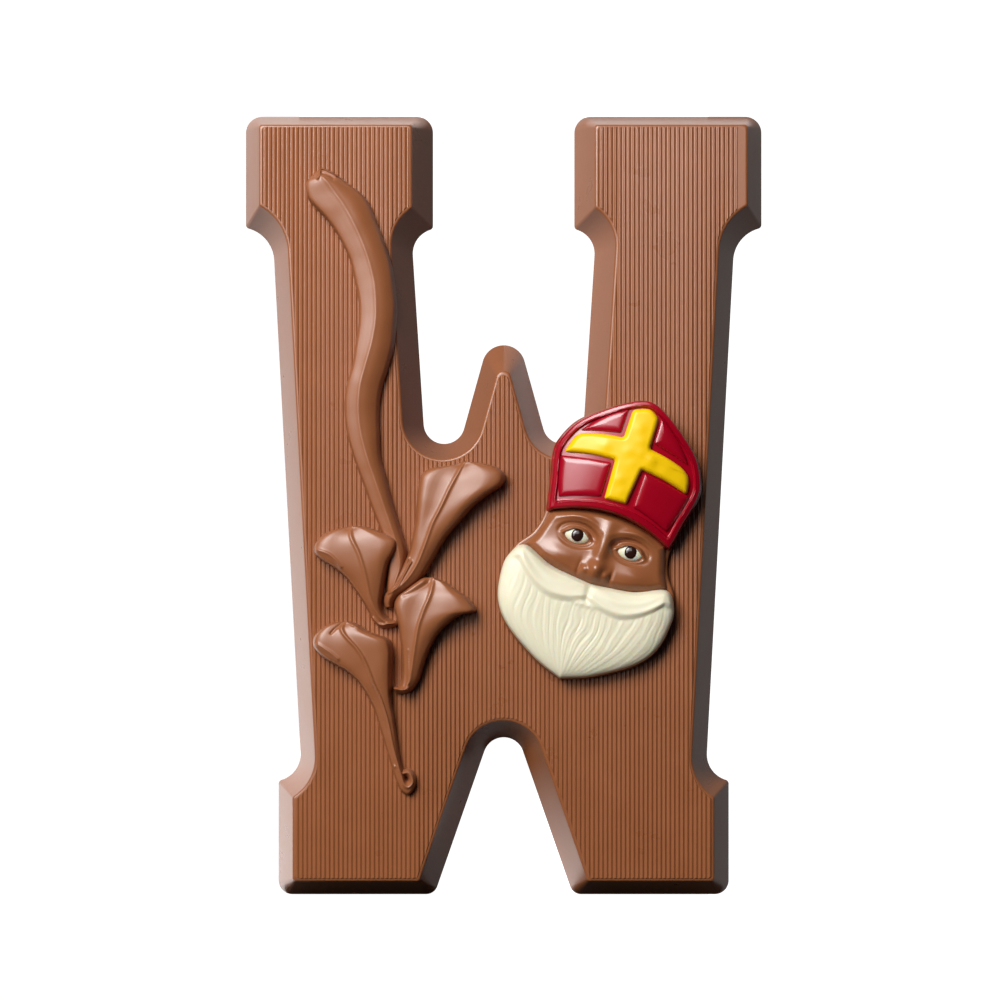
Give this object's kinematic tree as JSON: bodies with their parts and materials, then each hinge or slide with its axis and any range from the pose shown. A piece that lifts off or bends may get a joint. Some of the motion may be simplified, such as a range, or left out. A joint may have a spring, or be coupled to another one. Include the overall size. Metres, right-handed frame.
{
  "type": "chocolate letter",
  "caption": "Moulded milk chocolate letter W with a finely ribbed face, piped chocolate leaves and a bearded head in a tall red hat with a yellow cross.",
  "frame": {"origin": "middle of the letter's flat back, under the centre of its outline", "axes": "+Y runs to the top of the letter, +X to the reader's right, and +Z out of the ribbed face"},
  "size_m": [0.126, 0.19, 0.0213],
  "materials": {
    "milk_chocolate": "satin moulded milk chocolate",
    "piped_milk_chocolate": "smooth satin piped milk chocolate",
    "red_cocoa_butter": "glossy deep red coloured cocoa butter",
    "yellow_cocoa_butter": "glossy yellow coloured cocoa butter",
    "white_chocolate": "satin ivory white chocolate",
    "dark_chocolate": "glossy dark chocolate"
  },
  "bodies": {
    "root": {"letter": "milk_chocolate", "strand": "piped_milk_chocolate", "leaf_upper_right": "piped_milk_chocolate", "leaf_left": "piped_milk_chocolate", "leaf_middle": "piped_milk_chocolate", "leaf_lower": "piped_milk_chocolate", "plaque": "milk_chocolate", "hat": "red_cocoa_butter", "hat_cross": "yellow_cocoa_butter", "beard": "white_chocolate", "eye_left_white": "white_chocolate", "eye_right_white": "white_chocolate", "eye_left_pupil": "dark_chocolate", "eye_right_pupil": "dark_chocolate"}
  },
  "joints": []
}
